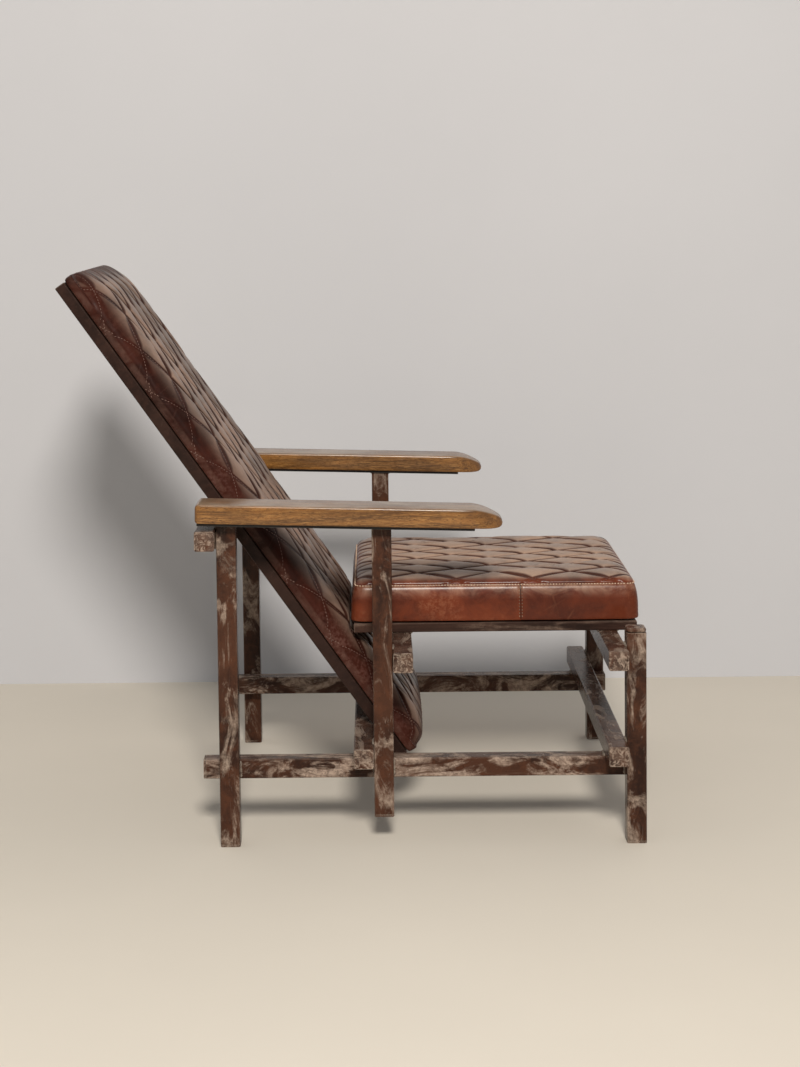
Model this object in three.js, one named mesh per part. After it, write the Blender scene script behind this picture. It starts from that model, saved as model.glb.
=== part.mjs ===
// Reclined lounge chair: a welded frame of square tube, a seat panel and a leaning back panel with
// diamond-quilted leather cushions, and flat wooden arms on steel straps.
// Millimetres. +X is the front, +Y the sitter's left, +Z up. The origin is on the floor under the middle.
import * as THREE from 'three';

// Square tube of the main frame
const barSize = 30;
const barWall = 2;
const barCorner = 2.5;
const cornerSegments = 2;
const capThickness = 3;
const capEdge = 0.8;
const capEdgeSegments = 1;
const topCapThickness = 7;
const topCapEdge = 3;
const topCapEdgeSegments = 3;
const weldGap = 0.3;

// Main frame: posts stand on the floor line, rails are placed by the faces that other pieces meet
const postSpread = 600;
const railReach = 30;
const rearToMiddle = 235;
const middleToFront = 384;
const frontPostHeight = 331.5;
const middlePostLift = 44.5;
const sideRailUnderside = 97;
const sideRailTail = 27;
const topRailTop = 490.5;
const seatRailTop = 303.5;

// Arms: the underside is given at the rear posts and falls towards the front
const armUnderside = 501;
const armSlope = THREE.MathUtils.degToRad(1.6);
const armLength = 461;
const armWidth = 70;
const armThickness = 28.5;
const armTail = 29;
const armOverhang = 30;
const armEdge = 4;
const armEdgeSegments = 3;
const armEndEdge = 2;
const noseLength = 42;
const noseClip = 24;
const noseDrop = 10;
const noseRise = 2;
const noseSteps = 6;
const strapThickness = 4;
const strapInset = 6;
const strapSetback = 2.5;
const strapHoleRadius = 2.5;
const strapHoleSegments = 8;
const strapHoleCount = 4;
const strapHoleMargin = 60;

// Panels: a mitred frame of flat tube, a thin board and a cushion
const panelWidth = 380;
const panelBarWidth = 30;
const panelBarWall = 1.5;
const panelBarCorner = 2;
const seatBarThickness = 15;
const backBarThickness = 18;
const boardThickness = 5;
const boardInset = 14;
const seatBackGap = 1;
const backRestGap = 0.9;
const backLength = 913;
const backBelowRail = 66;
const seatMiddleBars = 1;
const backMiddleBars = 2;

// Quilting: diamonds that lie lengthwise, one of them in the middle of each cushion
const diamondLength = 120;
const diamondWidth = 60;
const gridPerDiamond = 4;
const swellFullness = 0.7;

// Cushions: heights are counted from the top face of the panel's frame
const cushionEndOverhang = 4;
const cushionSideOverhang = 2;
const cushionCorner = 10;
const cornerArcSteps = 4;
const lipWidth = 8;
const lipRound = 1.5;
const shoulderShare = 1 / 6;
const waistShare = 1 / 2;
const seatCushion = {
  lip: 3.5,
  seam: 60,
  crown: 9,
  puff: 6,
  roll: 70,
  drawIn: 3,
  seamInset: 7,
};
const backCushion = {
  lip: 2,
  seam: 21,
  crown: 15,
  puff: 6,
  roll: 45,
  drawIn: 2,
  seamInset: 2,
};

const finishes = {
  steel: { color: 0x4b3a33, roughness: 0.6, metalness: 0.75 },
  blackSteel: { color: 0x14110f, roughness: 0.7, metalness: 0.5 },
  wood: { color: 0x8f6236, roughness: 0.45, metalness: 0 },
  board: { color: 0x1c1512, roughness: 0.85, metalness: 0 },
  leather: { color: 0x6b2c1c, roughness: 0.4, metalness: 0 },
};

// Values that follow from the sizes above
const half = barSize / 2;
const barPitch = barSize + weldGap;
const rearX = -(rearToMiddle + middleToFront) / 2;
const middleX = rearX + rearToMiddle;
const frontX = middleX + middleToFront;
const postY = postSpread / 2 - half;
const sideRailY = postY - barPitch;
const sideRailZ = sideRailUnderside + half;
const lowerRailZ = sideRailZ + barPitch;
const topRailX = rearX - barPitch;
const topRailZ = topRailTop - half;
const seatRailZ = seatRailTop - half;
const lowerRearX = middleX - barPitch;
const sides = { right: -1, left: 1 };

const chair = new THREE.Group();
const assembly = new THREE.Group();
chair.add(assembly);

function place(parent, name, geometry, kind, x, y, z) {
  const mesh = new THREE.Mesh(geometry, new THREE.MeshStandardMaterial(finishes[kind]));
  mesh.name = name;
  mesh.position.set(x, y, z);
  parent.add(mesh);
  return mesh;
}

function roundedOutline(path, width, height, radius) {
  const x = width / 2 - radius;
  const y = height / 2 - radius;
  path.absarc(x, -y, radius, -Math.PI / 2, 0);
  path.absarc(x, y, radius, 0, Math.PI / 2);
  path.absarc(-x, y, radius, Math.PI / 2, Math.PI);
  path.absarc(-x, -y, radius, Math.PI, Math.PI * 1.5);
  path.closePath();
  return path;
}

// A run of tube from start to end along its local Z, open at both ends
function tubeGeometry(width, height, wall, radius, start, end) {
  const section = roundedOutline(new THREE.Shape(), width, height, radius);
  const bore = new THREE.Path();
  const boreX = width / 2 - wall;
  const boreY = height / 2 - wall;
  bore.moveTo(-boreX, -boreY);
  bore.lineTo(-boreX, boreY);
  bore.lineTo(boreX, boreY);
  bore.lineTo(boreX, -boreY);
  bore.closePath();
  section.holes.push(bore);
  const settings = { depth: end - start, bevelEnabled: false, curveSegments: cornerSegments };
  return new THREE.ExtrudeGeometry(section, settings).translate(0, 0, start);
}

// Turns a geometry that runs along Z so that it runs along the named axis
function runAlong(axis, geometry) {
  const turn = new THREE.Matrix4();
  const x = new THREE.Vector3(1, 0, 0);
  const y = new THREE.Vector3(0, 1, 0);
  const z = new THREE.Vector3(0, 0, 1);
  if (axis === 'x') turn.makeBasis(y, z, x);
  if (axis === 'y') turn.makeBasis(z, x, y);
  return geometry.applyMatrix4(turn);
}

// Moves each vertex of a run's two ends to where the given function says the end is cut
function cutEnds(geometry, middle, endAt) {
  const position = geometry.getAttribute('position');
  for (let i = 0; i < position.count; i += 1) {
    const sign = position.getZ(i) > middle ? 1 : -1;
    position.setZ(i, endAt(sign, position.getX(i), position.getY(i), position.getZ(i)));
  }
  return geometry;
}

// A closing plate with a rounded edge, lying across Z with its middle at the origin
function capGeometry(thickness, edge, edgeSegments) {
  const outline = roundedOutline(new THREE.Shape(), barSize, barSize, barCorner + edge);
  const depth = thickness - 2 * edge;
  const settings = {
    depth,
    bevelEnabled: true,
    bevelThickness: edge,
    bevelSize: edge,
    bevelOffset: -edge,
    bevelSegments: edgeSegments,
    curveSegments: cornerSegments,
  };
  return new THREE.ExtrudeGeometry(outline, settings).translate(0, 0, -depth / 2);
}

function endCap() {
  return capGeometry(capThickness, capEdge, capEdgeSegments);
}

// A square bar from start to end along X or Y, closed by a plate at both ends
function cappedBar(name, axis, start, end, across, z, endNames) {
  const at = (run) => (axis === 'x' ? [run, across, z] : [across, run, z]);
  const inset = capThickness + weldGap;
  const tube = tubeGeometry(barSize, barSize, barWall, barCorner, start + inset, end - inset);
  place(assembly, name, runAlong(axis, tube), 'steel', ...at(0));
  const plates = [start + capThickness / 2, end - capThickness / 2];
  plates.forEach((run, i) => {
    place(assembly, `${name}_cap_${endNames[i]}`, runAlong(axis, endCap()), 'steel', ...at(run));
  });
}

// Height of the strap's underside above the floor, where a post meets it
function strapUnderside(x) {
  return armUnderside - strapThickness / Math.cos(armSlope) - Math.tan(armSlope) * (x - rearX);
}

// An upright with a closing plate at its foot and its top cut to the slope of the arm
function armPost(name, x, y, foot) {
  const footInset = foot + capThickness + weldGap;
  const tube = tubeGeometry(barSize, barSize, barWall, barCorner, footInset, strapUnderside(x));
  cutEnds(tube, armUnderside / 2, (sign, localX, localY, z) =>
    sign > 0 ? strapUnderside(x + localX) - weldGap : z,
  );
  place(assembly, name, tube, 'steel', x, y, 0);
  place(assembly, `${name}_foot`, endCap(), 'steel', x, y, foot + capThickness / 2);
}

// A front upright, closed at its foot and by a plate with well rounded edges at its top
function frontPost(name, y) {
  const low = capThickness + weldGap;
  const high = frontPostHeight - topCapThickness - weldGap;
  const tube = tubeGeometry(barSize, barSize, barWall, barCorner, low, high);
  place(assembly, name, tube, 'steel', frontX, y, 0);
  place(assembly, `${name}_foot`, endCap(), 'steel', frontX, y, capThickness / 2);
  const top = capGeometry(topCapThickness, topCapEdge, topCapEdgeSegments);
  place(assembly, `${name}_top`, top, 'steel', frontX, y, frontPostHeight - topCapThickness / 2);
}

function frame() {
  const railEnd = postSpread / 2 + railReach;
  const tail = rearX - half - sideRailTail;
  for (const [side, sign] of Object.entries(sides)) {
    armPost(`rear_post_${side}`, rearX, sign * postY, 0);
    armPost(`middle_post_${side}`, middleX, sign * postY, middlePostLift);
    frontPost(`front_post_${side}`, sign * postY);
    const ends = ['rear', 'front'];
    cappedBar(`side_rail_${side}`, 'x', tail, frontX + half, sign * sideRailY, sideRailZ, ends);
  }
  const ends = ['right', 'left'];
  cappedBar('top_rear_rail', 'y', -railEnd, railEnd, topRailX, topRailZ, ends);
  cappedBar('seat_rear_rail', 'y', -railEnd, railEnd, middleX + barPitch, seatRailZ, ends);
  cappedBar('seat_front_rail', 'y', -railEnd, railEnd, frontX - barPitch, seatRailZ, ends);
  cappedBar('lower_rear_rail', 'y', -railEnd, railEnd, lowerRearX, lowerRailZ, ends);
  cappedBar('lower_front_rail', 'y', -railEnd, railEnd, frontX - barPitch, lowerRailZ, ends);
}

// Joins rings of points into a closed skin, with a fan over the first and the last ring
function loftGeometry(rings) {
  const count = rings[0].length;
  const points = rings.flat();
  const middleOf = (ring) =>
    ring.reduce((sum, point) => sum.add(point), new THREE.Vector3()).divideScalar(ring.length);
  const first = points.push(middleOf(rings[0])) - 1;
  const last = points.push(middleOf(rings[rings.length - 1])) - 1;
  const lastRing = (rings.length - 1) * count;
  const faces = [];
  for (let m = 0; m < count; m += 1) {
    const next = (m + 1) % count;
    faces.push(first, next, m);
    faces.push(last, lastRing + m, lastRing + next);
    for (let r = 0; r < lastRing; r += count) {
      faces.push(r + m, r + next, r + count + next);
      faces.push(r + m, r + count + next, r + count + m);
    }
  }
  return new THREE.BufferGeometry().setFromPoints(points).setIndex(faces);
}

// The arm's section at one station, counted from its square rear end: clipped and thinned at the nose
function armRing(station, inset) {
  const into = Math.max(0, (station - (armLength - noseLength)) / noseLength);
  const width = armWidth - 2 * noseClip * into - 2 * inset;
  const top = armThickness - noseDrop * into * into - inset;
  const bottom = noseRise * into * into + inset;
  const radius = armEdge - inset;
  const outline = roundedOutline(new THREE.Shape(), width, top - bottom, radius);
  const corners = outline.getPoints(armEdgeSegments).slice(0, -1);
  const rise = (top + bottom) / 2;
  return corners.map((point) => new THREE.Vector3(station, point.x, rise + point.y));
}

function armGeometry() {
  const rings = [armRing(0, armEndEdge), armRing(armEndEdge, 0)];
  for (let step = 0; step < noseSteps; step += 1) {
    rings.push(armRing(armLength - noseLength + (noseLength * step) / noseSteps, 0));
  }
  rings.push(armRing(armLength - armEndEdge, 0));
  rings.push(armRing(armLength, armEndEdge));
  return loftGeometry(rings);
}

function strapGeometry(length) {
  const plan = new THREE.Shape();
  const across = armWidth / 2 - strapInset;
  plan.moveTo(0, -across);
  plan.lineTo(length, -across);
  plan.lineTo(length, across);
  plan.lineTo(0, across);
  plan.closePath();
  const pitch = (length - 2 * strapHoleMargin) / (strapHoleCount - 1);
  for (let i = 0; i < strapHoleCount; i += 1) {
    const hole = new THREE.Path();
    hole.absarc(strapHoleMargin + pitch * i, 0, strapHoleRadius, 0, Math.PI * 2, true);
    plan.holes.push(hole);
  }
  const settings = { depth: strapThickness, bevelEnabled: false, curveSegments: strapHoleSegments };
  return new THREE.ExtrudeGeometry(plan, settings);
}

function arms() {
  const armY = postSpread / 2 + armOverhang - armWidth / 2;
  const rearEnd = -half - armTail;
  const strapLength = armLength - noseLength - strapSetback;
  for (const [side, sign] of Object.entries(sides)) {
    const set = new THREE.Group();
    set.position.set(rearX, sign * armY, armUnderside);
    set.rotation.y = armSlope;
    assembly.add(set);
    place(set, `armrest_${side}`, armGeometry(), 'wood', rearEnd, 0, weldGap);
    const strap = strapGeometry(strapLength);
    place(set, `arm_strap_${side}`, strap, 'blackSteel', rearEnd + strapSetback, 0, -strapThickness);
  }
}

// Height of a diamond's swell, from nought on the stitch lines to one at its middle
function diamondSwell(u, v) {
  const p = (2 * u) / diamondLength;
  const q = (2 * v) / diamondWidth;
  const along = Math.cos((Math.PI * (p + q)) / 2);
  const against = Math.cos((Math.PI * (p - q)) / 2);
  return Math.abs(along * against) ** swellFullness;
}

// A boxed cushion in its panel's own axes: u lengthwise, v across, w up from the panel's frame
function cushionGeometry(length, width, pocket, form) {
  const halfU = length / 2;
  const halfV = width / 2;
  const stepU = diamondLength / gridPerDiamond;
  const stepV = diamondWidth / gridPerDiamond;
  const linesU = Math.floor((halfU - cushionCorner) / stepU);
  const linesV = Math.floor((halfV - cushionCorner) / stepV);
  const points = [];
  const faces = [];
  const add = (u, v, w) => points.push(new THREE.Vector3(u, v, w)) - 1;

  const rise = (distance) => Math.sin((Math.min(Math.max(distance / form.roll, 0), 1) * Math.PI) / 2);
  const face = (u, v) => {
    const edge = rise(halfU - Math.abs(u)) * rise(halfV - Math.abs(v));
    return form.seam + form.crown * edge + form.puff * diamondSwell(u, v) * Math.sqrt(edge);
  };

  // Quilted face, with each cell split along the stitch line that crosses it
  const grid = (i, j) => (i + linesU) * (2 * linesV + 1) + (j + linesV);
  for (let i = -linesU; i <= linesU; i += 1) {
    for (let j = -linesV; j <= linesV; j += 1) {
      add(i * stepU, j * stepV, face(i * stepU, j * stepV));
    }
  }
  for (let i = -linesU; i < linesU; i += 1) {
    for (let j = -linesV; j < linesV; j += 1) {
      const near = grid(i, j);
      const ahead = grid(i + 1, j);
      const across = grid(i, j + 1);
      const far = grid(i + 1, j + 1);
      if ((i - j) % 2 === 0) faces.push(near, ahead, far, near, far, across);
      else faces.push(near, ahead, across, ahead, far, across);
    }
  }

  // One ring round the cushion, counter-clockwise from above, with the sides drawn in between the corners
  const ring = (inset, drawIn, height) => {
    const radius = Math.max(cushionCorner - inset, lipRound);
    const reachU = halfU - Math.max(inset, 0);
    const reachV = halfV - Math.max(inset, 0);
    const ids = [];
    const side = (count, step, reach, other, turn) => {
      for (let k = -count; k <= count; k += 1) {
        const run = k * step;
        const out = other - drawIn * (1 - (run / reach) ** 2);
        ids.push(add(...turn(run, out)));
      }
    };
    const arc = (signU, signV, from) => {
      for (let k = 1; k < cornerArcSteps; k += 1) {
        const angle = from + (Math.PI / 2) * (k / cornerArcSteps);
        const u = signU * (reachU - radius) + radius * Math.cos(angle);
        const v = signV * (reachV - radius) + radius * Math.sin(angle);
        ids.push(add(u, v, height(u, v)));
      }
    };
    side(linesU, stepU, halfU, reachV, (run, out) => [run, -out, height(run, -out)]);
    arc(1, -1, -Math.PI / 2);
    side(linesV, stepV, halfV, reachU, (run, out) => [out, run, height(out, run)]);
    arc(1, 1, 0);
    side(linesU, stepU, halfU, reachV, (run, out) => [-run, out, height(-run, out)]);
    arc(-1, 1, Math.PI / 2);
    side(linesV, stepV, halfV, reachU, (run, out) => [-out, -run, height(-out, -run)]);
    arc(-1, -1, Math.PI);
    return ids;
  };
  const stitch = (inner, outer) => {
    inner.forEach((id, m) => {
      const next = (m + 1) % inner.length;
      if (inner[next] !== id) faces.push(id, outer[next], inner[next]);
      faces.push(id, outer[m], outer[next]);
    });
  };

  // The face's rim, in the same order as the rings, with its corners repeated along each arc
  const rim = [];
  const corner = (id) => rim.push(...new Array(cornerArcSteps - 1).fill(id));
  for (let i = -linesU; i <= linesU; i += 1) rim.push(grid(i, -linesV));
  corner(grid(linesU, -linesV));
  for (let j = -linesV; j <= linesV; j += 1) rim.push(grid(linesU, j));
  corner(grid(linesU, linesV));
  for (let i = linesU; i >= -linesU; i -= 1) rim.push(grid(i, linesV));
  corner(grid(-linesU, linesV));
  for (let j = linesV; j >= -linesV; j -= 1) rim.push(grid(-linesU, j));
  corner(grid(-linesU, -linesV));

  const boxing = form.seam - form.lip;
  const rings = [
    rim,
    ring(form.seamInset, 0, () => form.seam),
    ring(0, 0, () => form.seam - boxing * shoulderShare),
    ring(0, form.drawIn, () => form.lip + boxing * waistShare),
    ring(0, 0, () => form.lip + lipRound),
    ring(lipRound, 0, () => form.lip),
    ring(lipWidth, 0, () => form.lip),
    ring(lipWidth, 0, () => pocket),
  ];
  for (let r = 1; r < rings.length; r += 1) stitch(rings[r - 1], rings[r]);
  const floor = rings[rings.length - 1];
  const middle = add(0, 0, pocket);
  floor.forEach((id, m) => faces.push(id, middle, floor[(m + 1) % floor.length]));
  return new THREE.BufferGeometry().setFromPoints(points).setIndex(faces);
}

// One panel in its own axes: a mitred frame with bars across it, a board on the frame and the cushion
// on that. ends names the end bars from the low end of u, leftSign says on which side of v the left lies.
function panel(name, length, thickness, middleBars, form, leftSign, ends) {
  const group = new THREE.Group();
  const halfU = length / 2;
  const halfV = panelWidth / 2;
  const mitreGap = weldGap * Math.SQRT1_2;
  const level = thickness / 2;
  const flatTube = (run) =>
    tubeGeometry(panelBarWidth, thickness, panelBarWall, panelBarCorner, -run, run);
  const mitred = (run, across, sign) =>
    cutEnds(flatTube(run), 0, (end, localX) => {
      const lateral = across - panelBarWidth / 2 + sign * localX;
      return end * (run - (across - lateral) - mitreGap);
    });
  for (const [side, sign] of Object.entries({ right: -leftSign, left: leftSign })) {
    const tube = runAlong('x', mitred(halfU, halfV, sign));
    place(group, `${name}_frame_${side}`, tube, 'steel', 0, sign * (halfV - panelBarWidth / 2), level);
  }
  const upright = new THREE.Matrix4().makeRotationX(Math.PI / 2);
  const endBar = (sign) => mitred(halfV, halfU, sign).applyMatrix4(upright);
  ends.forEach((end, i) => {
    const sign = 2 * i - 1;
    const u = sign * (halfU - panelBarWidth / 2);
    place(group, `${name}_frame_${end}`, endBar(sign), 'steel', u, 0, level);
  });
  const crossRun = halfV - panelBarWidth - weldGap;
  for (let i = 1; i <= middleBars; i += 1) {
    const u = -halfU + (length * i) / (middleBars + 1);
    const tube = flatTube(crossRun).applyMatrix4(upright);
    place(group, `${name}_frame_cross_${i}`, tube, 'steel', u, 0, level);
  }
  const boardBase = thickness + weldGap;
  const board = new THREE.BoxGeometry(length - 2 * boardInset, panelWidth - 2 * boardInset, boardThickness);
  place(group, `${name}_board`, board, 'board', 0, 0, boardBase + boardThickness / 2);
  const pocket = 2 * weldGap + boardThickness;
  const cushionLength = length + 2 * cushionEndOverhang;
  const cushionWidth = panelWidth + 2 * cushionSideOverhang;
  const cushion = cushionGeometry(cushionLength, cushionWidth, pocket, form);
  place(group, `${name}_cushion`, cushion, 'leather', 0, 0, thickness);
  assembly.add(group);
  return group;
}

// The back leans on the rounded front top corners of the top rear rail and the lower rear rail
function panels() {
  const cornerOf = (x, z) => new THREE.Vector3(x + half - barCorner, 0, z + half - barCorner);
  const across = new THREE.Vector3(0, -1, 0);
  const contact = cornerOf(lowerRearX, lowerRailZ);
  const rest = cornerOf(topRailX, topRailZ);
  const lean = new THREE.Vector3().subVectors(rest, contact).normalize().cross(across);
  contact.addScaledVector(lean, barCorner + weldGap);
  rest.addScaledVector(lean, barCorner + backRestGap);
  const up = new THREE.Vector3().subVectors(rest, contact).normalize();
  const out = new THREE.Vector3().crossVectors(up, across);
  const backEnds = ['low', 'high'];
  const back = panel('back', backLength, backBarThickness, backMiddleBars, backCushion, -1, backEnds);
  const middle = contact.clone().addScaledVector(up, backLength / 2 - backBelowRail);
  back.applyMatrix4(new THREE.Matrix4().makeBasis(up, across, out).setPosition(middle));

  // The seat ends where its rear lower edge comes to the face of the back cushion
  const seatBase = seatRailTop + weldGap;
  const backFace = backBarThickness + backCushion.seam + backCushion.crown + backCushion.puff + seatBackGap;
  const rearEnd = contact.x + (backFace - (seatBase - contact.z) * out.z) / out.x;
  const frontEnd = frontX + half;
  const seatLength = frontEnd - rearEnd;
  const seatEnds = ['rear', 'front'];
  const seat = panel('seat', seatLength, seatBarThickness, seatMiddleBars, seatCushion, 1, seatEnds);
  seat.position.set((rearEnd + frontEnd) / 2, 0, seatBase);
}

frame();
arms();
panels();

// Brings the middle of the chair's depth over the origin
const extent = new THREE.Box3().setFromObject(assembly, true);
assembly.position.x = -(extent.min.x + extent.max.x) / 2;

export default chair;
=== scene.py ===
import bpy, bmesh, math
import numpy as np
from types import SimpleNamespace
from mathutils import Vector, Matrix, noise
from mathutils.bvhtree import BVHTree


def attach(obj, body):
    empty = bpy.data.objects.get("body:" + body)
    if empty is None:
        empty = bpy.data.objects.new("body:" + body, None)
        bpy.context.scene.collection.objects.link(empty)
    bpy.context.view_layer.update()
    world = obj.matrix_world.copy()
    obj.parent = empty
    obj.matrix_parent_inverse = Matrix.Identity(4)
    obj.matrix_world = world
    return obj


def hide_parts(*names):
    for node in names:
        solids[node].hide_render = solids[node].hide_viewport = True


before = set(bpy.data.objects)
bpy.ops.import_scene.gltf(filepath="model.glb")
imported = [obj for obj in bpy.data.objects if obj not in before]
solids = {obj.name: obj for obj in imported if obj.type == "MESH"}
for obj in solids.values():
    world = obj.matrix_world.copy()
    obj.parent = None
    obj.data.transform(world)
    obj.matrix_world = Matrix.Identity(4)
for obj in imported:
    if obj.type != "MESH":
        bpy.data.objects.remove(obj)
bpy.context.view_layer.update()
scene = bpy.context.scene
print("frame loaded:", len(solids), "solids")

mm = 0.001
hands = ("right", "left")


# shader trees: a method adds its node and gives back what comes out of it

class Nodes:
    def __init__(self, tree):
        self.tree = tree

    def put(self, node, inputs):
        for key, value in inputs.items():
            socket = node.inputs[key]
            if isinstance(value, bpy.types.NodeSocket):
                self.tree.links.new(value, socket)
            else:
                socket.default_value = (*value, 1) if socket.type == "RGBA" else value
        return node.outputs

    def add(self, kind, inputs=None, **settings):
        node = self.tree.nodes.new("ShaderNode" + kind)
        for key, value in settings.items():
            setattr(node, key, value)
        return self.put(node, inputs or {})

    def effect(self, group, **inputs):
        return self.add("Group", inputs, node_tree=group)

    def calc(self, operation, a, b=0, clamp=False):
        return self.add("Math", {0: a, 1: b}, operation=operation, use_clamp=clamp)[0]

    def times(self, a, b, clamp=False):
        return self.calc("MULTIPLY", a, b, clamp)

    def stretch(self, at, by):
        return self.add("VectorMath", {0: at, 1: by}, operation="MULTIPLY")["Vector"]

    def bend(self, at, by, reach):
        shift = self.add("VectorMath", {0: by, "Scale": reach}, operation="SCALE")["Vector"]
        return self.add("VectorMath", {0: at, 1: shift}, operation="ADD")["Vector"]

    def remap(self, value, low, high, toLow=0, toHigh=1):
        inputs = {"Value": value, "From Min": low, "From Max": high, "To Min": toLow, "To Max": toHigh}
        return self.add("MapRange", inputs, interpolation_type="SMOOTHSTEP")["Result"]

    def blend(self, factor, a, b, mode="MIX"):
        return self.add("Mix", {0: factor, 6: a, 7: b}, data_type="RGBA", blend_type=mode)[2]

    def noise(self, at, scale, detail=4, roughness=0.55, distortion=0, out=0):
        inputs = {"Vector": at, "Scale": scale, "Detail": detail, "Roughness": roughness,
                  "Distortion": distortion}
        return self.add("TexNoise", inputs)[out]

    def place(self):
        return self.add("TexCoord")["Object"]

    def facing(self):
        return self.add("NewGeometry")["Normal"]

    def field(self, name):
        return self.add("Attribute", attribute_name=name)["Fac"]

    def bump(self, shader, height, strength, distance):
        inputs = {"Height": height, "Strength": strength, "Distance": distance}
        self.put(shader, {"Normal": self.add("Bump", inputs)["Normal"]})


def newGroup(name, inputs, *outputs):
    group = bpy.data.node_groups.new(name, "ShaderNodeTree")
    for label, default in inputs.items():
        kind = "NodeSocketVector" if isinstance(default, tuple) else "NodeSocketFloat"
        group.interface.new_socket(label, in_out="INPUT", socket_type=kind).default_value = default
    for label in outputs:
        group.interface.new_socket(label, in_out="OUTPUT", socket_type="NodeSocketFloat")
    given, out = group.nodes.new("NodeGroupInput").outputs, group.nodes.new("NodeGroupOutput")
    return group, Nodes(group), given, out


def newMaterial(name):
    material = bpy.data.materials.new(name)
    material.use_nodes = True
    return material, Nodes(material.node_tree), material.node_tree.nodes["Principled BSDF"]


# effects that several finishes share

edgeWear, n, given, out = newGroup("edgeWear", {"Width": 0.002, "Breakup": 60, "Amount": 1}, "Edge")
rounded = n.add("Bevel", {"Radius": given["Width"]}, samples=6)["Normal"]
same = n.add("VectorMath", {0: rounded, 1: n.facing()}, operation="DOT_PRODUCT")["Value"]
edge = n.remap(n.calc("SUBTRACT", 1, same), 0.01, 0.16)
patchy = n.remap(n.noise(n.place(), given["Breakup"], 5, 0.65), 0.36, 0.6)
n.put(out, {"Edge": n.times(n.times(edge, patchy), given["Amount"], True)})

streaks, n, given, out = newGroup("streaks", {"Stretch": (1, 1, 1), "Scale": 20, "Detail": 8, "From": 0.45,
                                              "To": 0.6, "Swirl": 0.35}, "Mask")
along = n.stretch(n.place(), given["Stretch"])
cloudy = n.noise(along, given["Scale"], given["Detail"], 0.68, given["Swirl"])
n.put(out, {"Mask": n.remap(cloudy, given["From"], given["To"])})

# upward faces lightened: settled dust, and on the arms also a painted sheen
dustAndTopSheen, n, given, out = newGroup("dustAndTopSheen", {"Scale": 14, "Amount": 0.3}, "DustSheen")
upward = n.remap(n.add("SeparateXYZ", {0: n.facing()})["Z"], 0.35, 0.95)
cloudy = n.remap(n.noise(n.place(), given["Scale"], 6, 0.6), 0.3, 0.75)
n.put(out, {"DustSheen": n.times(n.times(upward, cloudy), given["Amount"], True)})

leatherGrain, n, given, out = newGroup("leatherGrain", {"Pebble": 520, "Crease": 34},
                                       "Height", "Mottle", "Crease", "Clouds", "Speckle")
at = n.place()
bent = n.bend(at, n.noise(at, 45, 3, 0.5, out="Color"), 0.004)
cells, folds = (n.add("TexVoronoi", {"Vector": bent, "Scale": given[key]},
                      feature="DISTANCE_TO_EDGE")["Distance"] for key in ("Pebble", "Crease"))
some = n.remap(n.noise(at, 11, 3), 0.5, 0.64)
crease = n.times(n.remap(folds, 0, 0.05, 1, 0), some)
pebble = n.remap(cells, 0, 0.12, 0, 0.35)
n.put(out, {"Height": n.calc("SUBTRACT", pebble, crease), "Crease": crease,
            "Mottle": n.noise(at, 26, 9, 0.66, 0.4), "Clouds": n.noise(at, 7, 5, 0.6),
            "Speckle": n.noise(at, 170, 4, 0.7)})

threadTwist, n, given, out = newGroup("threadTwist", {"Twist": 900, "Wear": 40}, "Twist", "Wear")
at = n.place()
n.put(out, {"Twist": n.noise(at, given["Twist"], 3), "Wear": n.noise(at, given["Wear"])})

stageTone, n, given, out = newGroup("stageTone", {"Scale": 1.4}, "Tone")
n.put(out, {"Tone": n.remap(n.noise(n.place(), given["Scale"]), 0.2, 0.8, 0.96, 1)})
print("shared effects ready")


# patinated steel of the frame, one material for each direction that a bar can run

frameSteel = {
    "dark": (0.022, 0.01, 0.007), "brown": (0.062, 0.025, 0.014), "rust": (0.086, 0.032, 0.016),
    "pale": (0.33, 0.25, 0.194), "chalkEdgeGlint": (0.44, 0.36, 0.29),
    "grit": 130, "rustSpots": 48, "scratches": 240, "pits": 330, "dustSheen": 0.18,
    "stretch": 0.38, "patch": 27, "edgeWidth": 0.0022, "edge": 0.8, "paleAt": (0.49, 0.64),
    "rough": (0.24, 0.42), "shine": 0.09, "swirl": 1.5, "lacquer": 0.05,
}


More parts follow.
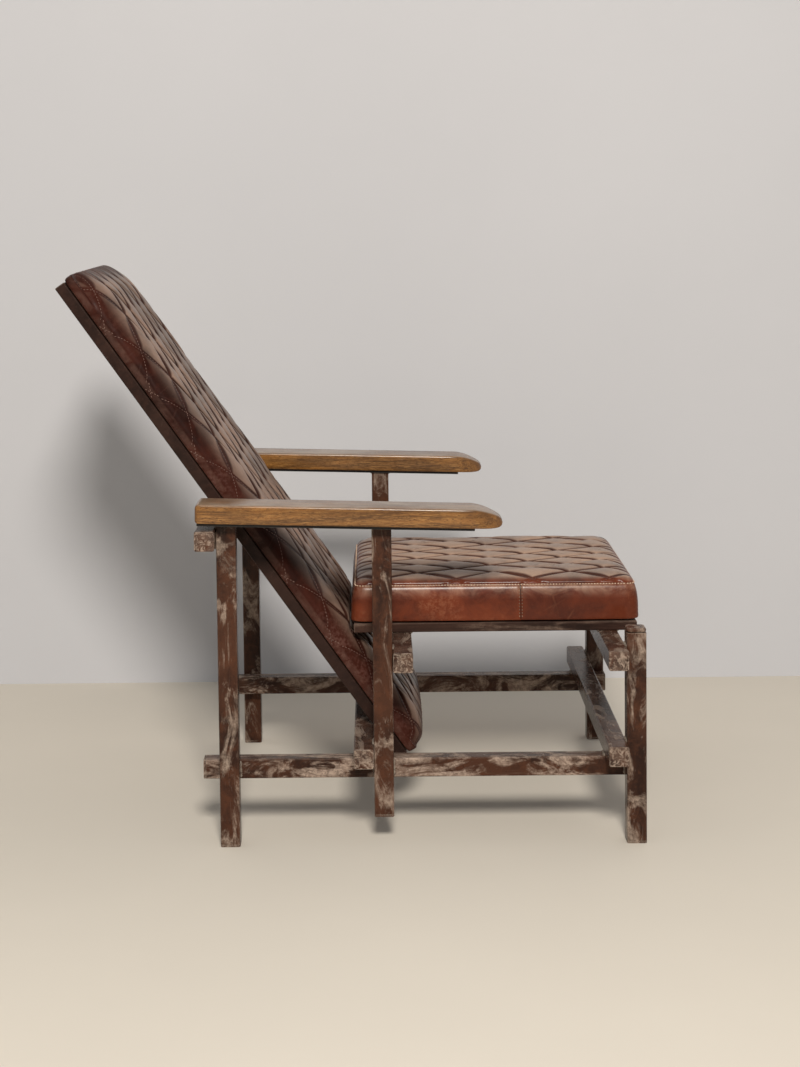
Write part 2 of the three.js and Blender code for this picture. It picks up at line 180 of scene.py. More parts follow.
def patinaSteel(name, run, look):
    material, n, shader = newMaterial(name)
    even, stretch, scratch = (1, 1, 1), [1, 1, 1], [1, 1, 1]
    if run is not None:
        stretch[run], scratch[run] = look["stretch"], 0.03

    def mask(along, scale, detail, low, high, swirl=0.35):
        return n.effect(streaks, Stretch=along, Scale=scale, Detail=detail, From=low, To=high,
                        Swirl=swirl)["Mask"]

    fine = mask(even, look["grit"], 6, 0.36, 0.64)
    color = n.blend(mask(stretch, look["patch"] * 0.7, 6, 0.34, 0.62), look["dark"], look["brown"])
    color = n.blend(n.times(mask(even, look["rustSpots"], 7, 0.46, 0.66), 0.6), color, look["rust"])
    smear = mask(stretch, look["patch"], 11, *look["paleAt"], look["swirl"])
    pale = n.times(smear, n.remap(fine, 0, 1, 0.45, 0.9))
    color = n.blend(pale, color, look["pale"])
    color = n.blend(n.times(mask(scratch, look["scratches"], 3, 0.62, 0.7), 0.15), color, look["pale"])
    color = n.blend(n.times(mask(even, look["pits"], 2, 0.6, 0.7), 0.6), color, look["dark"])
    # pale chalky edges: worn edges, partly a painted highlight along them
    edge = n.effect(edgeWear, Width=look["edgeWidth"], Breakup=55, Amount=look["edge"])["Edge"]
    color = n.blend(edge, color, look["chalkEdgeGlint"])
    dustSheen = n.effect(dustAndTopSheen, Scale=30, Amount=look["dustSheen"])["DustSheen"]
    n.put(shader, {"Base Color": n.blend(dustSheen, color, look["pale"]),
                   "Roughness": n.remap(pale, 0, 0.8, *look["rough"]), "Metallic": n.times(edge, 0.35),
                   "Specular IOR Level": look["shine"], "Coat Weight": look["lacquer"],
                   "Coat Roughness": 0.16})
    n.bump(shader, n.calc("ADD", n.times(pale, 0.7), n.times(fine, 0.25)), 0.5, 0.0005)
    return material


railLook = {**frameSteel, "paleAt": (0.45, 0.6), "pale": (0.42, 0.318, 0.25)}
endLook = {**frameSteel, "patch": 110, "paleAt": (0.46, 0.58), "brown": (0.1, 0.062, 0.046),
           "rough": (0.5, 0.7)}
beadLook = {**frameSteel, "patch": 110, "paleAt": (0.36, 0.5), "pale": (0.31, 0.265, 0.215)}
# the back frame's steel is a darker copy of the seat frame's finish: painted shade
shadedPanelLook = {**frameSteel, "dark": (0.017, 0.009, 0.007), "brown": (0.031, 0.016, 0.012),
             "rust": (0.038, 0.018, 0.013), "pale": (0.15, 0.1, 0.075), "chalkEdgeGlint": (0.16, 0.11, 0.085),
             "paleAt": (0.64, 0.8), "edge": 0.5, "rough": (0.34, 0.46), "shine": 0.07,
             "lacquer": 0.03}
seatFrameLook = {**shadedPanelLook, "brown": (0.08, 0.041, 0.029), "stretch": 0.12, "paleAt": (0.5, 0.66)}
barSteel = [patinaSteel("barSteel" + "XYZ"[run], run, look)
            for run, look in enumerate((railLook, frameSteel, frameSteel))]
groundSteel = patinaSteel("groundEnd", None, endLook)
weldSteel = patinaSteel("weldSteel", None, beadLook)
shadedPanelSteel = patinaSteel("shadedPanelSteel", None, shadedPanelLook)
seatSteel = patinaSteel("seatSteel", 0, seatFrameLook)

strapLook = {
    "streaks": {"Stretch": (0.3, 1, 1), "Scale": 60, "Detail": 7, "From": 0.4, "To": 0.75},
    "dark": (0.01, 0.008, 0.007), "light": (0.028, 0.022, 0.019), "bare": (0.12, 0.1, 0.085),
    "rough": (0.45, 0.68), "shine": 0.25, "relief": (0.3, 0.0004),
}
boardLook = {
    "streaks": {"Stretch": (1, 8, 1), "Scale": 14, "Detail": 9, "From": 0.3, "To": 0.72},
    "dark": (0.012, 0.008, 0.006), "light": (0.034, 0.022, 0.016),
    "rough": (0.6, 0.82), "shine": 0.2, "relief": (0.4, 0.0005),
}


def streakyCoat(name, look):
    material, n, shader = newMaterial(name)
    mask = n.effect(streaks, **look["streaks"])["Mask"]
    color = n.blend(mask, look["dark"], look["light"])
    if "bare" in look:  # worn down to the metal along its edges
        edge = n.effect(edgeWear, Width=0.001, Breakup=120, Amount=0.4)["Edge"]
        color = n.blend(edge, color, look["bare"])
    n.put(shader, {"Base Color": color, "Roughness": n.remap(mask, 0, 1, *look["rough"]),
                   "Specular IOR Level": look["shine"]})
    n.bump(shader, mask, *look["relief"])
    return material


armWood = {
    "deep": (0.082, 0.034, 0.009), "honey": (0.258, 0.108, 0.025), "light": (0.41, 0.205, 0.06),
    "pore": (0.045, 0.017, 0.005), "edge": (0.5, 0.34, 0.19), "topSheenGrey": (0.4, 0.315, 0.235),
    "end": (0.09, 0.036, 0.012), "rough": (0.3, 0.46), "shine": 0.07, "oil": 0.75, "oilRough": 0.22,
}


def oiledWood(look):
    material, n, shader = newMaterial("oiledWood")
    at = n.place()
    bent = n.bend(at, n.noise(n.stretch(at, (3, 14, 14)), 2.4, 3, 0.5, out="Color"), 0.012)
    bands = n.noise(n.stretch(bent, (0.9, 34, 34)), 5, 5, 0.6)
    fibre = n.noise(n.stretch(bent, (14, 230, 230)), 4, 5, 0.62)
    pores = n.noise(n.stretch(bent, (80, 620, 620)), 2.4, 3, 0.55)
    cloudy = n.remap(n.noise(n.stretch(at, (1, 3, 3)), 12, 5), 0.35, 0.7)
    color = n.blend(n.remap(bands, 0.34, 0.68), look["deep"], look["honey"])
    color = n.blend(n.remap(fibre, 0.44, 0.68, 0, 0.7), color, look["light"])
    color = n.blend(n.times(cloudy, 0.66), color, look["deep"])
    color = n.blend(n.remap(pores, 0.55, 0.66, 0, 0.85), color, look["pore"])
    turned = n.calc("ABSOLUTE", n.add("SeparateXYZ", {0: n.facing()})["X"])
    color = n.blend(n.remap(turned, 0.25, 0.9, 0, 0.75), color, look["end"])  # end grain is darker
    edge = n.effect(edgeWear, Width=0.0035, Breakup=40, Amount=0.5)["Edge"]
    color = n.blend(edge, color, look["edge"])
    # painted sheen: the arms' top faces are lightened toward a pale grey
    dustSheen = n.effect(dustAndTopSheen, Scale=11, Amount=0.66)["DustSheen"]
    n.put(shader, {"Base Color": n.blend(dustSheen, color, look["topSheenGrey"]),
                   "Roughness": n.remap(fibre, 0.2, 0.8, *look["rough"]), "Specular IOR Level": look["shine"],
                   "Coat Weight": look["oil"], "Coat Roughness": look["oilRough"]})
    n.bump(shader, n.calc("SUBTRACT", n.times(fibre, 0.5), pores), 0.3, 0.0004)
    return material


strapBlack = streakyCoat("strapPaint", strapLook)
darkBoard = streakyCoat("boardStain", boardLook)
armrestWood = oiledWood(armWood)


# waxed leather: the fields that it reads come from the pads' own meshes

seatHide = {
    "deep": (0.056, 0.013, 0.007), "red": (0.138, 0.028, 0.01), "tan": (0.29, 0.11, 0.055),
    "faceDeep": (0.036, 0.012, 0.008), "face": (0.088, 0.033, 0.021), "faceRubbedSheen": (0.44, 0.295, 0.212),
    "slate": (0.305, 0.222, 0.176), "grooveShade": (0.008, 0.004, 0.003), "sheen": (0.4, 0.235, 0.16),
    "rough": (0.22, 0.38), "faceRough": (0.26, 0.4), "gloss": 0.2, "shine": 0.06, "lines": 0.15,
    "sheenStreaks": 0.62, "frontShade": 0.38,
}
# the back's side leather tones are far darker than the seat's: partly painted shade
backHide = {
    "deep": (0.015, 0.0045, 0.003), "red": (0.044, 0.0105, 0.006), "tan": (0.12, 0.055, 0.043),
    "faceDeep": (0.022, 0.008, 0.005), "face": (0.046, 0.017, 0.011), "faceRubbedSheen": (0.345, 0.225, 0.167),
    "slate": (0.205, 0.142, 0.11), "grooveShade": (0.006, 0.003, 0.002), "sheen": (0.15, 0.085, 0.066),
    "rough": (0.34, 0.5), "faceRough": (0.28, 0.42), "gloss": 0.03, "shine": 0.05, "lines": 0.1,
    "sheenStreaks": 0.35, "frontShade": 0,
}


def leatherFinish(name, look):
    material, n, shader = newMaterial(name)
    grain = n.effect(leatherGrain, Pebble=620, Crease=30)
    mottle, clouds = grain["Mottle"], grain["Clouds"]
    boxing = n.field("boxing")
    tone = n.calc("ADD", n.times(mottle, 0.45), n.times(clouds, 0.55))
    side = n.blend(n.remap(tone, 0.36, 0.58), look["deep"], look["red"])
    scuffed = n.times(n.remap(clouds, 0.46, 0.7), n.remap(grain["Speckle"], 0.42, 0.66))
    side = n.blend(n.times(scuffed, 0.65), side, look["tan"])
    side = n.blend(n.times(n.field("front"), look["frontShade"]), side, look["deep"])
    # painted highlight: a pale streaky sheen on the sides, in a band just under the top seam
    sheenStreaks = n.effect(streaks, Stretch=(1, 1, 1.3), Scale=30, Detail=10, From=0.34, To=0.68,
                       Swirl=0.6)["Mask"]
    side = n.blend(n.times(n.times(n.field("sheenBand"), sheenStreaks), look["sheenStreaks"]), side, look["sheen"])
    # pale grey-tan crests: partly rubbed wear, partly painted sheen; the valleys keep the darker face colour,
    # partly painted shade
    face = n.blend(n.remap(mottle, 0.3, 0.7), look["faceDeep"], look["face"])
    rubbedSheen = n.blend(n.remap(clouds, 0.4, 0.58), look["slate"], look["faceRubbedSheen"])
    crest = n.remap(n.field("valley"), 0.12, 0.6, 1, 0)
    face = n.blend(n.times(crest, n.remap(mottle, 0.25, 0.6, 0.6, 0.9)), face, rubbedSheen)
    color = n.blend(boxing, face, side)
    color = n.blend(n.times(grain["Crease"], look["lines"]), color, look["tan"])
    # painted shade: the stitch grooves and seams are darkened nearly to black, for the shade inside the folds
    color = n.blend(n.remap(n.field("grooveShade"), 0.3, 1, 0, 0.9), color, look["grooveShade"])
    smooth, rougher = (n.remap(mottle, 0.3, 0.7, *look[key]) for key in ("rough", "faceRough"))
    n.put(shader, {"Base Color": color, "Coat Weight": n.remap(boxing, 0, 1, 0.2, look["gloss"]),
                   "Roughness": n.add("Mix", {0: boxing, 2: rougher, 3: smooth}, data_type="FLOAT")[0],
                   "Coat Roughness": 0.2, "Specular IOR Level": look["shine"]})
    n.bump(shader, grain["Height"], 0.22, 0.0005)
    return material


def threadFinish(name, dark, light):
    material, n, shader = newMaterial(name)
    thread = n.effect(threadTwist)
    color = n.blend(n.remap(thread["Twist"], 0.35, 0.65), dark, light)
    n.put(shader, {"Base Color": n.blend(n.remap(thread["Wear"], 0.45, 0.7), color, dark),
                   "Roughness": n.remap(thread["Twist"], 0.3, 0.7, 0.55, 0.8)})
    n.bump(shader, thread["Twist"], 0.5, 0.0003)
    return material


seatLeather = leatherFinish("seatLeather", seatHide)
backLeather = leatherFinish("backLeather", backHide)
paleThread = threadFinish("paleThread", (0.42, 0.255, 0.165), (0.76, 0.57, 0.42))
joinThread = threadFinish("joinThread", (0.08, 0.038, 0.024), (0.36, 0.23, 0.15))
brownThread = threadFinish("brownThread", (0.06, 0.027, 0.019), (0.18, 0.1, 0.073))
# the back's thread is paler than the seat's brown thread: partly rubbed, partly painted light on the stitches
rubbedLitThread = threadFinish("rubbedLitThread", (0.085, 0.04, 0.03), (0.25, 0.148, 0.115))
print("finishes ready")


# solids that keep their shape get the finishes

dressing = {"_cap_": groundSteel, "seat_frame": seatSteel, "back_frame": shadedPanelSteel, "_board": darkBoard,
            "arm_strap": strapBlack, "armrest": armrestWood, "side_rail": barSteel[0], "rail": barSteel[1],
            "post": barSteel[2]}
for name, solid in solids.items():
    if "_cushion" not in name:
        solid.material_slots[0].material = next(dressing[word] for word in dressing if word in name)
print("frame dressed")


# mesh helpers

def meshObject(name, points, faces, finish):
    mesh = bpy.data.meshes.new(name)
    mesh.from_pydata([tuple(p) for p in points], [], faces)
    mesh.update()
    piece = bpy.data.objects.new(name, mesh)
    scene.collection.objects.link(piece)
    mesh.materials.append(finish)
    mesh.polygons.foreach_set("use_smooth", [True] * len(mesh.polygons))
    return piece


def tubeFaces(first, rings, sides, flip=False):
    faces, last = [], first + (rings - 1) * sides
    for low in range(first, last, sides):
        high = low + sides
        for j in range(sides):
            after = (j + 1) % sides
            ahead, back = (low + after, high + j) if flip else (high + j, low + after)
            faces.append((low + j, ahead, high + after, back))
    turn = -1 if flip else 1
    return faces + [tuple(range(first, first + sides))[::turn], tuple(range(last, last + sides))[::-turn]]


def newStore():
    return {"points": [], "faces": []}


def readVectors(mesh, key):
    flat = np.empty(len(mesh.vertices) * 3, np.float32)
    mesh.vertices.foreach_get(key, flat)
    return flat.reshape(-1, 3).astype(float)


def writePoints(mesh, points):
    mesh.vertices.foreach_set("co", points.astype(np.float32).ravel())
    mesh.update()


def nodePoints(name):
    return np.array([v.co for v in solids[name].data.vertices], float)


def nodeBox(name, centre=0, axes=np.eye(3)):
    corners = (nodePoints(name) - centre) @ axes.T
    return corners.min(0), corners.max(0)


def panelAxes(board, cushion):
    corners = nodePoints(board)
    centre = corners.mean(0)
    spread = np.linalg.svd(corners - centre, full_matrices=False)[2]
    u, w = spread[0], spread[2]
    u = u * np.sign(u[2] if abs(u[2]) > 0.1 else u[0])  # the back runs upward, the seat forward
    w = w * np.sign(w @ (nodePoints(cushion).mean(0) - centre))
    v = np.cross(w, u)
    return centre, np.array([u, v, w])


def triples(u, v, w):
    return np.stack(np.broadcast_arrays(u, v, w), -1)


def smoothStep(value, low, high):
    t = np.clip((value - low) / (high - low), 0, 1)
    return t * t * (3 - 2 * t)


def arcLength(path):
    return np.concatenate([[0], np.cumsum(np.linalg.norm(np.diff(path, axis=0), axis=1))])


def alongPath(at, arc, values):
    return np.stack([np.interp(at, arc, values[:, k]) for k in range(3)], -1)


def unit(vectors):
    return vectors / np.linalg.norm(vectors, axis=-1, keepdims=True)


# quilted pads, built in their panel's own axes: u lengthwise, v across, w away from the panel

quilting = {
    "diamond": (0.12, 0.06), "cells": 24, "variety": 0.18, "wander": 1.6 * mm,
    "puff": 6 * mm, "startShare": 0.85, "swellReach": 11 * mm, "nearDepth": 4.4 * mm, "farDepth": 2.8 * mm,
    "cap": 4 * mm, "frames": 12, "wanderIn": 45 * mm, "puffIn": 6 * mm, "grooveReach": 4 * mm,
    "boardGap": 0.3 * mm, "foldGrow": (2 * mm, 18 * mm), "sheenBand": (4 * mm, 24 * mm), "hemTuck": 1.5 * mm,
    "hemDrop": 0.8 * mm, "hemInset": 8 * mm,
}
seatPad = {
    **quilting, "boxed": True, "joinAt": 0.04, "joinHalf": 2 * mm,
    "seam": 60 * mm, "crown": 9 * mm, "corner": 12 * mm, "sideRoll": 20 * mm, "headRoll": 24 * mm,
    "footRoll": 24 * mm, "seamInset": 7 * mm, "shoulder": 0.45, "bulge": 1.6 * mm, "flare": 0.8 * mm,
    "edgePuff": 0.25, "fade": (4 * mm, 34 * mm), "seamDepth": 1.6 * mm, "edgeDepth": 0.4,
    "heldEdge": 10 * mm, "sideReach": 12 * mm, "fold": (5.5 * mm, 10 * mm), "threadEnd": 3 * mm,
}
backPad = {
    **quilting, "boxed": False,
    "seam": 15 * mm, "crown": 26 * mm, "corner": 14 * mm, "sideRoll": 48 * mm, "headRoll": 78 * mm,
    "footRoll": 36 * mm, "seamInset": 0, "shoulder": 0.3, "bulge": 0, "flare": -1 * mm,
    "edgePuff": 0.05, "fade": (14 * mm, 62 * mm), "seamDepth": 0, "edgeDepth": 0.15,
    "heldEdge": 18 * mm, "sideReach": 48 * mm, "fold": (6.5 * mm, 13 * mm), "threadEnd": 1 * mm,
    "lowBow": 7 * mm, "bowReach": 60 * mm,
}


def diamondSteps(u, v, pad):
    long, wide = pad["diamond"]
    p, q = 2 * u / long, 2 * v / wide
    return p + q, p - q


def stitchGaps(u, v, pad):
    long, wide = pad["diamond"]
    across = long * wide / (2 * math.hypot(long, wide))
    return [np.abs(steps % 2 - 1) * across for steps in diamondSteps(u, v, pad)]


def puffVariety(u, v, pad):
    near, far = diamondSteps(u, v, pad)  # every diamond has its own fullness
    return 1 + pad["variety"] * np.sin(np.floor((near + 1) / 2) * 12.9898 + np.floor((far + 1) / 2) * 78.233)


def wander(u, v, inward, pad):
    drift = pad["wander"] * smoothStep(inward, 0, pad["wanderIn"])  # hand-sewn lines are not quite straight
    return u + drift * np.sin(u / 0.031 + v / 0.047 + 0.6), v + drift * np.sin(v / 0.027 - u / 0.043 + 2.1)


def fadeIn(inward, pad, least):
    return least + (1 - least) * smoothStep(inward, *pad["fade"])


def rollCurve(half, pad):
    turn = np.linspace(0, math.pi / 2, 200)
    roll = pad["sideRoll"]
    along, drop = roll * np.sin(turn), pad["crown"] * (1 - np.cos(turn))
    arc = np.concatenate([[0], np.cumsum(np.hypot(np.diff(along), np.diff(drop)))])
    flat = half - roll
    return np.concatenate([[0], flat + arc]), np.concatenate([[0], flat + along])  # over leather, in plan


def padTop(pad, size):
    topU, topV = size - pad["seamInset"]
    return (topU, topV, pad["corner"]), rollCurve(topU, pad), rollCurve(topV, pad)


def ontoPlan(along, curve):
    return np.sign(along) * np.interp(np.abs(along), *curve)


def gridLines(end, step, extra=()):
    count = int((end - 0.4 * step) / step)
    inner = np.arange(-count, count + 1) * step
    return np.sort(np.concatenate([[-end, end], inner, extra]))


def pastStraight(u, v, halfU, halfV, radius):
    return np.abs(u) - (halfU - radius), np.abs(v) - (halfV - radius)


def roundPlan(u, v, halfU, halfV, radius):
    du, dv = pastStraight(u, v, halfU, halfV, radius)
    corner = (du > 0) & (dv > 0)
    pull = np.where(corner, np.maximum(du, dv) / np.maximum(np.hypot(du, dv), 1e-9), 1)
    return (np.where(corner, np.sign(u) * (halfU - radius + du * pull), u),
            np.where(corner, np.sign(v) * (halfV - radius + dv * pull), v))


def edgeDistance(u, v, halfU, halfV, radius):
    du, dv = pastStraight(u, v, halfU, halfV, radius)
    outside = np.hypot(np.maximum(du, 0), np.maximum(dv, 0))
    return np.maximum(radius - outside - np.minimum(np.maximum(du, dv), 0), 0)


def edgeNormals(u, v):
    tangentU, tangentV = (np.roll(a, -1) - np.roll(a, 1) for a in (u, v))
    size = np.maximum(np.hypot(tangentU, tangentV), 1e-12)
    return tangentV / size, -tangentU / size


def sideProfile(pad, lip):
    weltIn, weltDrop, weltEnd = -0.5 * mm, 1.3 * mm, 3.6 * mm
    depth = pad["seam"] - lip
    step = pad["diamond"][1] / pad["cells"] * (2 if pad["boxed"] else 1)
    rings = [(weltIn, weltDrop, weltDrop)] if pad["boxed"] else []  # outward, drop, leather length
    drop = weltEnd if pad["boxed"] else step
    while drop < depth - 0.6 * step:
        t = drop / depth
        lean = pad["seamInset"] * (pad["shoulder"] * (1 - (1 - t) ** 5) + (1 - pad["shoulder"]) * t)
        rings.append((lean + pad["bulge"] * math.sin(math.pi * t), drop, drop))
        drop += step
    return rings + [(pad["seamInset"] + pad["flare"], depth, depth)]


def padMesh(pad, size, rest, lip):
    top, curveU, curveV = padTop(pad, size)
    topU, topV, _ = top
    endU, endV = curveU[0][-1], curveV[0][-1]
    extra = [pad["joinAt"] - pad["joinHalf"], pad["joinAt"] + pad["joinHalf"]] if pad["boxed"] else []
    linesU = gridLines(endU, pad["diamond"][0] / pad["cells"], extra)
    linesV = gridLines(endV, pad["diamond"][1] / pad["cells"])
    leatherU, leatherV = np.meshgrid(linesU, linesV, indexing="ij")
    flatU, flatV = roundPlan(ontoPlan(leatherU, curveU), ontoPlan(leatherV, curveV), *top)
    inward = edgeDistance(flatU, flatV, *top)
    flatU, flatV = wander(flatU, flatV, inward, pad)
    near, far = stitchGaps(leatherU, leatherV, pad)
    toLine = np.minimum(near, far)
    endRoll = np.where(flatU > 0, pad["headRoll"], pad["footRoll"])
    endShare = np.clip(1 - (topU - np.abs(flatU)) / endRoll, 0, 1)
    sideShare = np.clip(1 - (topV - np.abs(flatV)) / pad["sideRoll"], 0, 1)
    roll = np.sqrt(np.clip(1 - endShare ** 2 - sideShare ** 2, 0, 1))
    swell = 1 - (1 - np.clip(toLine / pad["swellReach"], 0, 1)) ** 2
    swell = swell * puffVariety(leatherU, leatherV, pad)
    start = pad["puff"] * pad["startShare"]
    fade = fadeIn(inward, pad, pad["edgePuff"])
    height = pad["seam"] + pad["crown"] * roll + start * swell * fade * smoothStep(inward, 0, pad["puffIn"])
    points = triples(flatU, flatV, height).reshape(-1, 3)
    ids = np.arange(len(points)).reshape(flatU.shape)
    faces = np.stack([ids[:-1, :-1], ids[1:, :-1], ids[1:, 1:], ids[:-1, 1:]], -1).reshape(-1, 4).tolist()
    rim = np.concatenate([ids[:-1, 0], ids[-1, :-1], ids[:0:-1, -1], ids[0, :0:-1]])
    rimU, rimV, edgeU, edgeV = (grid.reshape(-1)[rim] for grid in (leatherU, leatherV, flatU, flatV))
    longSide = np.abs(rimV) > endV - 1e-9
    outU, outV = edgeNormals(edgeU, edgeV)
    loose = (toLine > 1e-6) & (inward > pad["heldEdge"])
    none, level = np.zeros(near.shape), np.zeros(len(rim))
    grids = {"sewn": ~loose, "near": near, "far": far, "inward": inward, "boxing": none, "seam": none,
             "sheenBand": none, "front": none}
    fields = {key: [grid.reshape(-1)] for key, grid in grids.items()}
    layers, previous, total = [points], rim, len(points)
    rings = sideProfile(pad, lip)
    bottom, depth = rings[-1][:2]
    hemmed = depth + pad["hemDrop"]
    under = [(bottom - pad["hemTuck"], hemmed, 0), (bottom - pad["hemInset"], hemmed, 0),
             (bottom - pad["hemInset"], pad["seam"] - rest, 0)]
    for out, drop, length in rings + under:
        layers.append(triples(edgeU + outU * out, edgeV + outV * out, pad["seam"] - drop))
        current = np.arange(total, total + len(rim))
        faces += np.stack([previous, current, np.roll(current, -1), np.roll(previous, -1)], -1).tolist()
        sideNear, sideFar = stitchGaps(rimU + np.sign(rimU) * length * ~longSide,
                                       rimV + np.sign(rimV) * length * longSide, pad)
        plain = pad["boxed"] or length == 0  # no quilting near it
        join, welt, front = level, 0, level
        if pad["boxed"]:
            join = (np.abs(rimU - pad["joinAt"]) < 0.1 * mm) & longSide & (length > 0)
            welt = 0.45 if drop < 2 * mm else 0
            front = rimU > pad["joinAt"]
        # the band under the seam that carries the painted sheen
        sheenBand = 1 - smoothStep(length, *pad["sheenBand"]) if length else 0
        ring = {"sewn": np.ones(len(rim), bool), "near": sideNear + plain, "far": sideFar + plain,
                "inward": level - length - 1e-4, "boxing": level + 1, "seam": np.maximum(join, welt),
                "sheenBand": level + sheenBand, "front": front}
        for key, values in ring.items():
            fields[key].append(values)
        previous, total = current, total + len(rim)
    return np.concatenate(layers), faces, {key: np.concatenate(value) for key, value in fields.items()}


coverCloth = {"quality": 6, "mass": 0.2, "tension_stiffness": 14, "compression_stiffness": 14,
              "shear_stiffness": 5.6, "bending_stiffness": 0.4, "use_pressure": True,
              "uniform_pressure_force": 5, "vertex_group_mass": "sewn"}


def evaluated(piece):
    return piece.evaluated_get(bpy.context.evaluated_depsgraph_get())


def inflate(piece, held, pad):
    group = piece.vertex_groups.new(name="sewn")
    group.add(np.flatnonzero(held).tolist(), 1, "REPLACE")
    cloth = piece.modifiers.new("inflate", "CLOTH")
    for key, value in coverCloth.items():
        setattr(cloth.settings, key, value)
    cloth.settings.effector_weights.gravity = 0
    cloth.point_cache.frame_start, cloth.point_cache.frame_end = 1, pad["frames"]
    before = readVectors(piece.data, "co")
    for step in range(1, pad["frames"] + 1):
        scene.frame_set(step)
    after = readVectors(evaluated(piece).to_mesh(), "co")
    piece.modifiers.remove(cloth)
    piece.vertex_groups.clear()
    scene.frame_set(1)
    move = after - before
    far = np.linalg.norm(move, axis=1)
    writePoints(piece.data, before + move * np.minimum(1, pad["cap"] / np.maximum(far, 1e-9))[:, None])
    print("inflated", piece.name, "most", round(float(far.max()) / mm, 1), "mm")


def sinkStitches(piece, fields, pad):
    onLine = 1.2 * mm
    onNear, onFar = fields["near"] < onLine, fields["far"] < onLine
    depth = np.maximum(onNear * pad["nearDepth"], onFar * pad["farDepth"])
    depth = depth * fadeIn(fields["inward"], pad, pad["edgeDepth"]) + fields["seam"] * pad["seamDepth"]
    mesh = piece.data
    writePoints(mesh, readVectors(mesh, "co") - readVectors(mesh, "normal") * depth[:, None])


def smoothOnce(piece):
    piece.modifiers.new("soften", "SUBSURF").levels = 1
    fine = bpy.data.meshes.new_from_object(evaluated(piece))
    piece.modifiers.clear()
    piece.data = fine


def closeBelow(piece):
    work = bmesh.new()
    work.from_mesh(piece.data)
    rim = [edge for edge in work.edges if edge.is_boundary]
    filled = bmesh.ops.contextual_create(work, geom=rim)["faces"]
    bmesh.ops.triangulate(work, faces=filled, ngon_method="EAR_CLIP")
    work.to_mesh(piece.data)
    work.free()


def storeFields(mesh, fields, pad):
    near, far, inward = fields["near"], fields["far"], fields["inward"]
    sewing = np.clip(1 - np.minimum(near, far) / pad["grooveReach"], 0, 1)
    # the valley mask marks the folds beside the stitches, which stay darker as partly painted shade
    narrow, wide = pad["fold"]
    reach = narrow + (wide - narrow) * smoothStep(far, *pad["foldGrow"])  # folds open between crossings
    # grooveShade holds the painted shade along the stitch lines and seams
    stored = {"grooveShade": np.maximum(fadeIn(inward, pad, pad["edgeDepth"]) * sewing, fields["seam"]),
              "valley": np.clip(np.maximum(1 - near / reach, 1 - far / narrow), 0, 1),
              "boxing": np.maximum(fields["boxing"], 1 - smoothStep(inward, 0, pad["sideReach"])),
              "sheenBand": fields["sheenBand"], "front": fields["front"]}
    for key, values in stored.items():
        layer = mesh.attributes.new(key, "FLOAT", "POINT")
        layer.data.foreach_set("value", np.asarray(values, np.float32))


def quiltedPad(name, panel, pad, finish, shape=None):
    centre, axes = panelAxes(panel + "_board", panel + "_cushion")
    low, high = nodeBox(panel + "_cushion", centre, axes)
    frameTop, boardTop = (nodeBox(panel + part, centre, axes)[1][2] for part in ("_frame_right", "_board"))
    origin = centre + np.array([*((low + high) / 2)[:2], frameTop]) @ axes
    made = SimpleNamespace(axes=axes, origin=origin, size=(high - low)[:2] / 2, lip=low[2] - frameTop)
    points, faces, fields = padMesh(pad, made.size, boardTop - frameTop + pad["boardGap"], made.lip)
    if shape:
        points = shape(points, made, pad)
    made.piece = meshObject(name, points @ axes + origin, faces, finish)
    storeFields(made.piece.data, fields, pad)
    inflate(made.piece, fields["sewn"], pad)
    sinkStitches(made.piece, fields, pad)
    if shape:  # the inflated face is brought clear of its neighbour again
        local = (readVectors(made.piece.data, "co") - origin) @ axes.T
        writePoints(made.piece.data, shape(local, made, {**pad, "lowBow": 0}) @ axes + origin)
    smoothOnce(made.piece)
    closeBelow(made.piece)
    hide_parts(panel + "_cushion")
    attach(made.piece, "root")
    print("built", name, len(made.piece.data.polygons), "faces")
    return made


def seatClearance(points, made, pad):
    gap, ease, soft, liftReach = 1.2 * mm, 0.3, 2 * mm, 12 * mm
    u, v, w = points.T
    rear = nodePoints("seat_frame_rear")
    rearmost = min(rear[:, 0].min(), nodePoints("seat_cushion")[:, 0].min())
    edge = np.array([rearmost - gap, 0, rear[:, 2].min()])
    edgeU, _, edgeW = (edge - made.origin) @ made.axes.T
    rise = -made.axes[0][0] / made.axes[0][2]  # the lean of the back against the upright rear of the seat
    limit = edgeW + rise * np.maximum(u - edgeU, 0) + ease * np.maximum(edgeU - u, 0)
    w = np.where(w > 0.5 * edgeW, -soft * np.logaddexp(-w / soft, -limit / soft), w)
    toward = smoothStep(-u, made.size[0] - pad["bowReach"], made.size[0])
    u = u - pad["lowBow"] * toward * (1 - (v / made.size[1]) ** 2) * smoothStep(w, made.lip, liftReach)
    return triples(u, v, w)


seatQuilt = quiltedPad("seat_quilt", "seat", seatPad, seatLeather)
backQuilt = quiltedPad("back_quilt", "back", backPad, backLeather, seatClearance)


# sewing thread: each stitch is a short bowed bead of thread lying on the leather

quiltThread = {"pitch": 5.2 * mm, "length": 3.6 * mm, "radius": 0.42 * mm, "sides": 5, "step": 1.5 * mm}
sideThread = {**quiltThread, "radius": 0.62 * mm, "step": 1 * mm, "from": 0, "short": 2 * mm,
              "clear": 20 * mm}
seamThread = {"pitch": 4.6 * mm, "length": 2.7 * mm, "radius": 1 * mm, "sides": 6, "step": 2 * mm,
              "outward": 0.5 * mm, "drop": 1.8 * mm, "tilt": 0.5}
joinRow = {**seamThread, "pitch": 5 * mm, "radius": 0.75 * mm, "step": 1 * mm, "from": 5 * mm,
           "short": 1 * mm, "apart": 2.2 * mm}
stitchBow = [(0, 0.3, 0.7, 1), (-0.5, 0.35, 0.35, -0.5), (0.5, 1, 1, 0.5)]  # share of length, lift, girth
rayAbove, rayBeside = 0.15, 0.05


